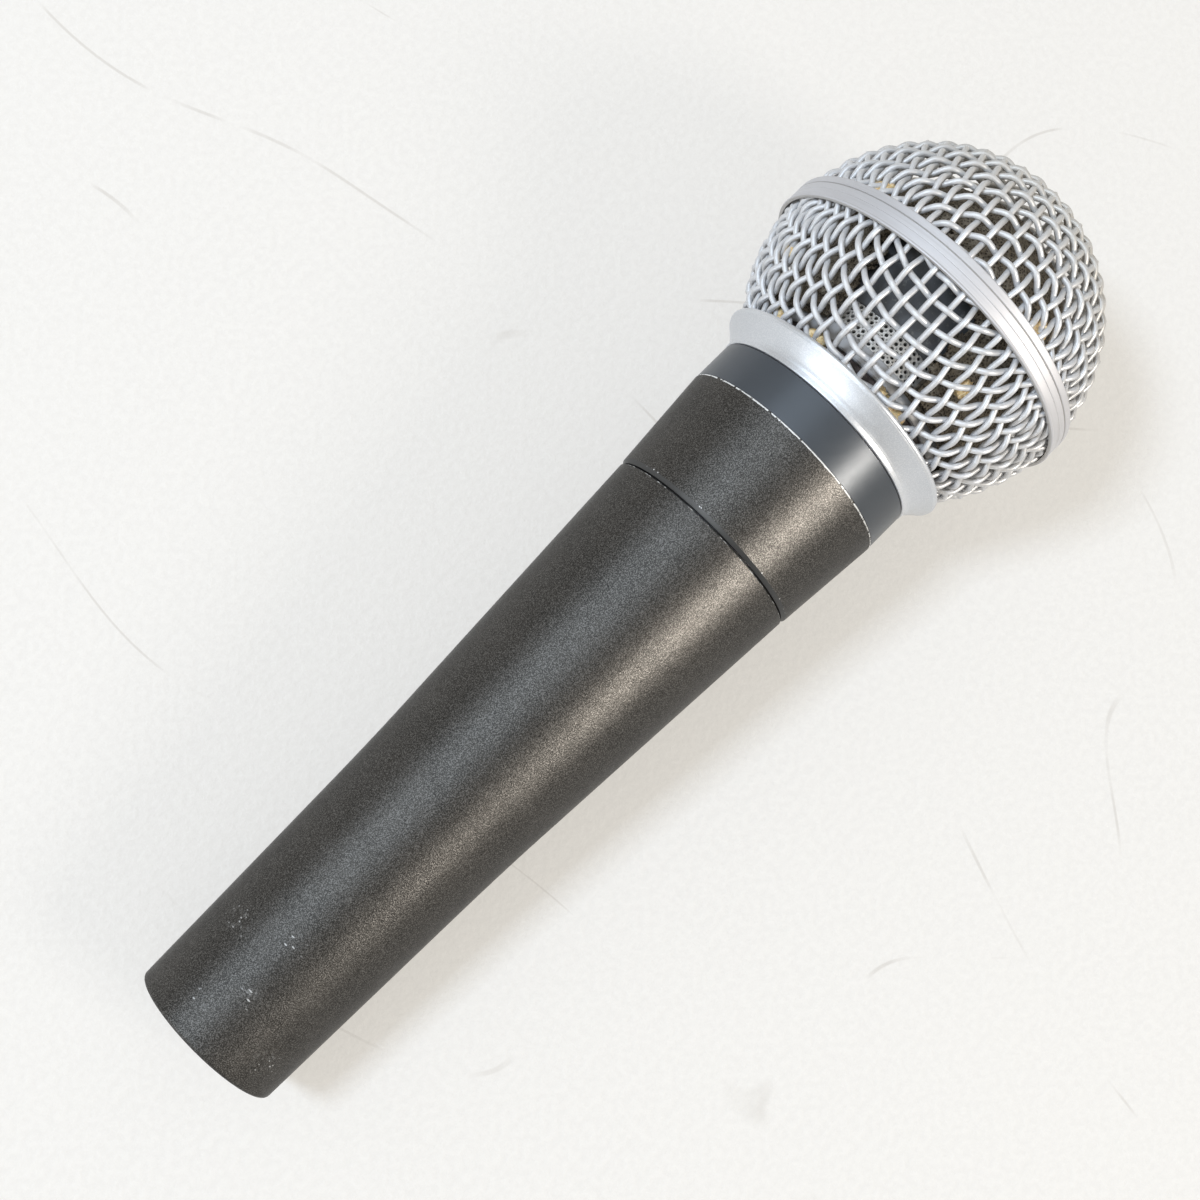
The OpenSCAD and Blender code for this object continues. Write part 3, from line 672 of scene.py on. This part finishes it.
def formed_net(cells, lowest):
    """Crossing points of a cloth formed over a sphere: {(i, j): unit vector}, with the pole at +Z."""
    pole = np.array([0.0, 0.0, 1.0])
    quarter = {(0, 0): pole}
    for axis, start in ((0, np.array([1.0, 0, 0])), (1, np.array([0, 1.0, 0]))):
        at, direction = pole, start
        for k in range(1, cells):
            new = walk(at, direction, cell_length(at, direction))
            direction = heading(at, new)
            at = new
            quarter[(k, 0) if axis == 0 else (0, k)] = at
            if at[2] < lowest:
                break
    for i in range(1, cells):
        for j in range(1, cells):
            known = [quarter.get(p) for p in ((i - 1, j), (i, j - 1), (i - 1, j - 1))]
            if any(p is None for p in known):
                continue
            new = crossing(*known)
            if new is not None and new[2] > lowest:
                quarter[(i, j)] = new
    net = {}
    for (i, j), p in quarter.items():
        for si in (1, -1):
            for sj in (1, -1):
                net[(si * i, sj * j)] = np.array([si * p[0], sj * p[1], p[2]])
    return net


def rows_of(net, family):
    """The wires of one family: lists of (over or under, unit vector) in order."""
    rows = {}
    for (i, j), p in net.items():
        key, place = (j, i) if family == 0 else (i, j)
        rows.setdefault(key, []).append((place, p))
    for key in sorted(rows):
        row = sorted(rows[key], key=lambda item: item[0])
        run = [row[0]]
        for item in row[1:]:
            if item[0] == run[-1][0] + 1:
                run.append(item)
            else:
                yield key, run
                run = [item]
        yield key, run


def smooth_line(points, samples):
    """Catmull-Rom points through points, samples to a stretch."""
    p = np.array(points)
    p = np.concatenate([[2 * p[0] - p[1]], p, [2 * p[-1] - p[-2]]])
    t = np.arange(samples)[:, None] / samples
    made = []
    for a, b, c, d in zip(p, p[1:], p[2:], p[3:]):
        slope, curve, twist = c - a, 2 * a - 5 * b + 4 * c - d, 3 * b - a - 3 * c + d
        made.append(b + 0.5 * (slope * t + curve * t**2 + twist * t**3))
    return np.concatenate(made + [p[-2:-1]])


def weave(name, mid_x, forward, keep, tilt, material):
    """One half of the ball in plain weave. forward is 1 for the dome and -1 for the bowl;
    keep is the range of x that the wire shows in, and tilt turns the cloth about the pole."""
    net = formed_net(NET_CELLS, NET_LOWEST)
    turn = math.radians(tilt)
    pole = np.array([forward, 0.0, 0.0])
    first = np.array([0.0, math.sin(turn), math.cos(turn)])
    second = np.cross(pole, first)
    centre = np.array([mid_x, 0.0, 0.0])
    tubes = Tubes()
    for family in (0, 1):
        for key, run in rows_of(net, family):
            if len(run) < 3:
                continue
            bent = []
            for place, p in run:
                world = p[0] * first + p[1] * second + p[2] * pole
                wobble = noise.noise_vector(Vector((key * 0.37, place * 0.61, family * 7.3 + forward)))
                bent.append(world * WEAVE_R + np.array(wobble) * HAND_WOBBLE * MM)
            line = unit_rows(smooth_line(bent, SAMPLES))
            steps = np.arange(len(line)) / SAMPLES + run[0][0] + key
            lift = np.cos(math.pi * steps) * WIRE_R * (1 if family == 0 else -1)
            points = centre + line * (WEAVE_R + lift)[:, None]
            inside = (points[:, 0] > keep[0]) & (points[:, 0] < keep[1])
            edges = np.flatnonzero(np.diff(np.concatenate([[0], inside.astype(int), [0]])))
            for start, end in zip(edges[::2], edges[1::2]):
                if end - start > 3:
                    tubes.add(points[start:end], WIRE_R, line[start:end])
    return tubes.build(name, material)


# ---------------------------------------------------------------- foam


def foam_profile(outer):
    """(x, r) along the foam's outer or inner face, from its tail edge to its front, 0.45 mm apart."""
    low = low_x("foam_windscreen")
    sphere_r = FOAM_R if outer else FOAM_R - 2.7 * MM
    skirt_r = FOAM_R - 1.1 * MM if outer else FOAM_R - 3.2 * MM
    sphere_from = DOME_MID - math.sqrt(sphere_r**2 - skirt_r**2)
    steps = 22
    flat = [(low + (sphere_from - low) * i / steps, skirt_r) for i in range(steps)]
    start = math.acos((sphere_from - DOME_MID) / sphere_r)
    around = 70
    dome = [(DOME_MID + sphere_r * math.cos(start * (1 - i / around)),
             sphere_r * math.sin(start * (1 - i / around))) for i in range(around)]
    return flat + dome


def foam_is_torn(x, angle):
    """True where the foam has crumbled away, on the upper side behind the band.
    angle is in degrees from +Z towards +Y."""
    ragged = noise.fractal(Vector((x / MM * 0.55, angle * 0.09, 3.7)), 0.8, 2.0, 3)
    fine = noise.noise(Vector((x / MM * 1.9, angle * 0.5, 9.1)))
    left = -18 + 6 * ragged + 2 * fine
    right = 38 - 7 * ragged + 2 * fine
    bay = 6.5 * math.exp(-(((angle - 20) / 11) ** 2))
    front = BAND_MID / MM - 0.6 + bay + 1.6 * ragged + 0.6 * fine
    return left < angle < right and x / MM < front


def foam_liner(material):
    """The foam as one closed, ragged skin with the torn window in it."""
    turns = 250
    outer, inner = foam_profile(True), foam_profile(False)
    rows = len(outer)
    angles = [360 * k / turns for k in range(turns)]
    signed = [a - 360 if a > 180 else a for a in angles]
    kept = [[not foam_is_torn(x, angle) for angle in signed] for x, _ in outer[: rows - 1]]
    points, faces, index = [], [], {}

    def corner(layer, i, k):
        key = (layer, i, k % turns)
        if key not in index:
            x, r = (outer if layer == 0 else inner)[i]
            a = math.radians(angles[k % turns])
            base = Vector((x, r * math.sin(a), r * math.cos(a)))
            facing = (base - Vector((DOME_MID, 0, 0))).normalized()
            lump = noise.fractal(base / MM * 0.42, 0.9, 2.0, 3)
            crumb = noise.noise(base / MM * 2.7)
            sink = (0.30 + 0.28 * lump + 0.17 * crumb) * MM
            index[key] = len(points)
            points.append(base - facing * sink * (1 if layer == 0 else -0.5))
        return index[key]

    def quad(layer, i, k):
        c = [corner(layer, i, k), corner(layer, i + 1, k),
             corner(layer, i + 1, k + 1), corner(layer, i, k + 1)]
        faces.append(c if layer == 0 else c[::-1])

    def wall(i0, k0, i1, k1):
        faces.append([corner(0, i0, k0), corner(0, i1, k1), corner(1, i1, k1), corner(1, i0, k0)])

    for i in range(rows - 1):
        for k in range(turns):
            if not kept[i][k]:
                continue
            quad(0, i, k)
            quad(1, i, k)
            if i == 0 or not kept[i - 1][k]:
                wall(i, k + 1, i, k)
            if i < rows - 2 and not kept[i + 1][k]:
                wall(i + 1, k, i + 1, k + 1)
            if not kept[i][k - 1]:
                wall(i, k, i + 1, k)
            if not kept[i][(k + 1) % turns]:
                wall(i + 1, k + 1, i, k + 1)
    for layer in (0, 1):
        rim = [corner(layer, rows - 1, k) for k in range(turns)]
        x = (outer if layer == 0 else inner)[-1][0]
        index[("tip", layer)] = len(points)
        points.append(Vector((x + (-0.1 if layer == 0 else 0.1) * MM, 0, 0)))
        for k in range(turns):
            c = [rim[k], index[("tip", layer)], rim[(k + 1) % turns]]
            faces.append(c if layer == 0 else c[::-1])
    return mesh_object("foam_liner", points, faces, material)


# ---------------------------------------------------------------- small pieces


def perforated_ring(material):
    """The ring over the capsule's rear ports, with its rows of round holes."""
    radius = outer_r("port_screen")
    wall = 0.4 * MM
    start, end = low_x("port_screen"), high_x("port_screen")
    rows = 5
    columns = 108
    pitch_x = (end - start) / rows
    hole = 0.27 * MM
    sides = 16
    points, faces, index = [], [], {}

    def point(x, around, r):
        key = (round(x / MM, 5), round((around % (2 * math.pi * radius)) / MM, 4), round(r / MM, 3))
        if key not in index:
            index[key] = len(points)
            a = around / radius
            points.append((x, r * math.sin(a), r * math.cos(a)))
        return index[key]

    pitch_a = 2 * math.pi * radius / columns
    for i in range(rows):
        for k in range(columns):
            cx, ca = start + (i + 0.5) * pitch_x, (k + 0.5) * pitch_a
            square, circle = [], []
            for s in range(sides):
                turn = (s + 0.5) * 2 * math.pi / sides
                dx, da = math.cos(turn), math.sin(turn)
                reach = max(abs(dx), abs(da))
                corner = [dx / reach, da / reach]
                square.append((cx + corner[0] * pitch_x / 2, ca + corner[1] * pitch_a / 2))
                circle.append((cx + hole * dx, ca + hole * da))
            for s in range(sides):
                n = (s + 1) % sides
                for r, flip in ((radius, False), (radius - wall, True)):
                    f = [point(*square[s], r), point(*square[n], r),
                         point(*circle[n], r), point(*circle[s], r)]
                    faces.append(f[::-1] if flip else f)
                faces.append([point(*circle[s], radius), point(*circle[n], radius),
                              point(*circle[n], radius - wall), point(*circle[s], radius - wall)])
                if (i == 0 and square[s][0] <= start + 1e-9 and square[n][0] <= start + 1e-9) or (
                        i == rows - 1 and square[s][0] >= end - 1e-9 and square[n][0] >= end - 1e-9):
                    faces.append([point(*square[n], radius), point(*square[s], radius),
                                  point(*square[s], radius - wall), point(*square[n], radius - wall)])
    return mesh_object("port_screen_holes", points, faces, material, smooth=False)


def loose_parts(node):
    """The lowest and highest corner of each separate solid in a CAD node."""
    mesh = nodes_by_name[node].data
    co = np.array([v.co for v in mesh.vertices])
    label = {}
    keys = [tuple(np.round(c, 7)) for c in co]
    parent = {k: k for k in keys}

    def root(k):
        while parent[k] != k:
            parent[k] = parent[parent[k]]
            k = parent[k]
        return k

    for f in mesh.polygons:
        vs = [keys[v] for v in f.vertices]
        for v in vs[1:]:
            parent[root(v)] = root(vs[0])
    for k in keys:
        label.setdefault(root(k), []).append(k)
    return [(np.min(g, axis=0), np.max(g, axis=0)) for g in label.values()]


def crumb(points, faces, at, size, seed):
    """Adds one ragged lump to points and faces."""
    first = len(points)
    rings, turns = 9, 14
    for i in range(1, rings):
        for k in range(turns):
            a, b = math.pi * i / rings, 2 * math.pi * k / turns
            d = Vector((math.cos(a), math.sin(a) * math.cos(b), math.sin(a) * math.sin(b)))
            lumps = noise.noise(d * 1.6 + Vector((seed, 0, 0)))
            grit = noise.noise(d * 5 + Vector((0, seed, 0)))
            points.append(at + np.array(d) * size * (1 + 0.55 * lumps + 0.2 * grit))
    for i in range(rings - 2):
        for k in range(turns):
            a, b = first + i * turns + k, first + i * turns + (k + 1) % turns
            faces.append((a, b, b + turns, a + turns))
    faces.append([first + k for k in reversed(range(turns))])
    faces.append([first + (rings - 2) * turns + k for k in range(turns)])


def glue_crumbs(material):
    """Cracked lumps of old glue: some for each dab in the CAD, near its outer end, and a few that
    are stuck to the wire beside the collar."""
    draw = random.Random(7)
    points, faces = [], []
    reach = WEAVE_R - 0.8 * MM
    beside_collar_x, beside_collar_r = high_x("grille_collar") + 0.7 * MM, 20 * MM
    beside_collar_degrees = (-20, -9, 30, 56)
    crumbs_to_a_place = 5
    places = []
    for low, high in sorted(loose_parts("adhesive_beads"), key=lambda b: tuple(b[0])):
        places.append((low + high) / 2)
    for angle in beside_collar_degrees:
        a = math.radians(angle)
        around = (math.sin(a) * beside_collar_r, math.cos(a) * beside_collar_r)
        places.append(np.array([beside_collar_x, *around]))
    for middle in places:
        radial = np.array([0, middle[1], middle[2]])
        radial = radial / np.linalg.norm(radial)
        around = np.cross(radial, [1.0, 0, 0])
        for _ in range(crumbs_to_a_place):
            spread = np.array([1.0, 0, 0]) * draw.uniform(-0.7, 0.7) + around * draw.uniform(-0.9, 0.9)
            at = middle + spread * MM
            from_middle = at[0] - BAND_MID if at[0] < BAND_MID else max(0.0, at[0] - DOME_MID)
            surface = math.sqrt(reach**2 - from_middle**2)
            at = at + radial * (surface - np.linalg.norm(at[1:]) - draw.uniform(0.0, 0.5) * MM)
            crumb(points, faces, at, draw.uniform(0.75, 1.2) * MM, draw.uniform(0, 50))
    return mesh_object("glue_crumbs", points, faces, material)


def rubber_boot(material):
    """The front shock mount, closely meshed."""
    low, high = low_x("front_shock_mount"), high_x("front_shock_mount")
    flange = high_x("cartridge_sleeve") + 0.25 * MM
    bore_r, neck_r, rim_r = 13.3 * MM, 14.15 * MM, outer_r("front_shock_mount")
    corners = [(low, neck_r), (flange - 0.2 * MM, neck_r), (flange, rim_r), (high - 0.35 * MM, rim_r),
               (high, rim_r - 0.6 * MM), (high, bore_r), (low, bore_r)]
    profile = []
    for (x0, r0), (x1, r1) in zip(corners, corners[1:] + corners[:1]):
        cuts = max(1, round(math.hypot(x1 - x0, r1 - r0) / (0.4 * MM)))
        profile += [(x0 + (x1 - x0) * i / cuts, r0 + (r1 - r0) * i / cuts) for i in range(cuts)]
    turns, rows = 120, len(profile)
    points = []
    for k in range(turns):
        a = 2 * math.pi * k / turns
        points += [(x, r * math.sin(a), r * math.cos(a)) for x, r in profile]
    faces = []
    for k in range(turns):
        here, following = k * rows, (k + 1) % turns * rows
        for i in range(rows):
            n = (i + 1) % rows
            faces.append((here + i, following + i, following + n, here + n))
    return mesh_object("rubber_boot", points, faces, material, smooth=False)


# distance from the tail where the slack meets the lead ends, all of it in the cartridge
LEADS_PART = 87 * MM


def lead_path(side, board):
    """One lead from the transformer to the capsule's board, with its slack in an open coil."""
    coil_from, coil_to, coil_radius = 58.0, 78.0, 7.0
    coil_turns, steps = 2.5, 45
    leaves_core, clears_winding = 49.7, 55.5
    route = [(-6.2, side * 3.2, leaves_core), (-6.2, side * 3.2, clears_winding)]
    for i in range(steps + 1):
        u = i / steps
        a = math.radians(180 - side * 27 + 360 * coil_turns * u)
        along = coil_from + (coil_to - coil_from) * u
        route.append((coil_radius * math.cos(a), coil_radius * math.sin(a), along))
    route += [(5.2, side * -3, coil_to + 4), (3, side * -2.6, coil_to + 10)]
    route += [(2, side * -2.4, board - 2.9), (2, side * -2.4, board - 0.1)]
    return smooth_line([(z, y, -x) for x, y, z in route], 4) * MM


def capsule_leads(material):
    """The insulated pair in two lengths: the slack, and the ends at the capsule's board."""
    lead_r = 0.5 * MM
    slack, ends = Tubes(), Tubes()
    for side in (-1, 1):
        line = lead_path(side, low_x("terminal_board") / MM)
        outward = unit_rows(line * np.array([0, 1, 1]))
        split = int(np.argmax(line[:, 0] > LEADS_PART))
        slack.add(line[: split + 1], lead_r, outward[: split + 1], sides=12)
        ends.add(line[split:], lead_r, outward[split:], sides=12)
    return slack.build("slack_leads", material), ends.build("lead_ends", material)


# ---------------------------------------------------------------- build


def make_floor(material):
    """A wide floor that the tail rim and the band stand on."""
    rim = [v.co for v in nodes_by_name["handle_shell"].data.vertices if v.co.x < 2 * MM]
    tail_r = max(math.hypot(p.y, p.z) for p in rim)
    band_r = outer_r("grille_band")
    slope = math.atan2(band_r - tail_r, BAND_MID)
    size = 3.0
    corners = [(-size, -size, 0), (size, -size, 0), (size, size, 0), (-size, size, 0)]
    floor = mesh_object("floor", corners, [(0, 1, 2, 3)], material, smooth=False)
    floor.matrix_world = Matrix.Translation((BAND_MID, 0, -band_r)) @ Matrix.Rotation(slope, 4, "Y")


make_camera()
make_lights()
make_floor(floor_paint())
rubber = dusty("rubber", (0.035, 0.028, 0.026), (0.075, 0.055, 0.050), 0.75, grain=1.8, depth=0.10,
               dust=0.55, dust_colour=(0.24, 0.18, 0.15))
dress_frame(rubber)

wire_material = wire_paint()
bowl_x = (low_x("lower_mesh") + 0.1 * MM, BAND_MID - 0.1 * MM)
bowl = weave("lower_weave", BAND_MID, -1, bowl_x, 3.0, wire_material)
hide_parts("lower_mesh")
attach(bowl, "grille")
dome_x = (BAND_MID + 0.1 * MM, cad_high.x)
dome = weave("upper_weave", DOME_MID, 1, dome_x, -1.5, wire_material)
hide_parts("upper_mesh")
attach(dome, "grille")

foam = foam_liner(foam_stuff())
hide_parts("foam_windscreen")
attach(foam, "grille")

port_metal = dusty("port_metal", (0.62, 0.60, 0.57), (0.82, 0.80, 0.76), 0.4, 0.6,
                   grain=2.4, depth=0.01, dust=0.45, dust_colour=(0.33, 0.28, 0.21))
screen = perforated_ring(port_metal)
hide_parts("port_screen")
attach(screen, "capsule")

crumbs = glue_crumbs(glue_stuff())
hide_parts("adhesive_beads")
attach(crumbs, "grille")

boot = rubber_boot(rubber)
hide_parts("front_shock_mount")
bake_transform(boot)

lead_yellow = dusty("lead_yellow", (0.52, 0.36, 0.03), (0.66, 0.48, 0.05), 0.4, dust=0.15)
slack, lead_ends = capsule_leads(lead_yellow)
for piece in (slack, lead_ends):
    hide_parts("capsule_leads")
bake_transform(slack)
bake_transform(lead_ends)
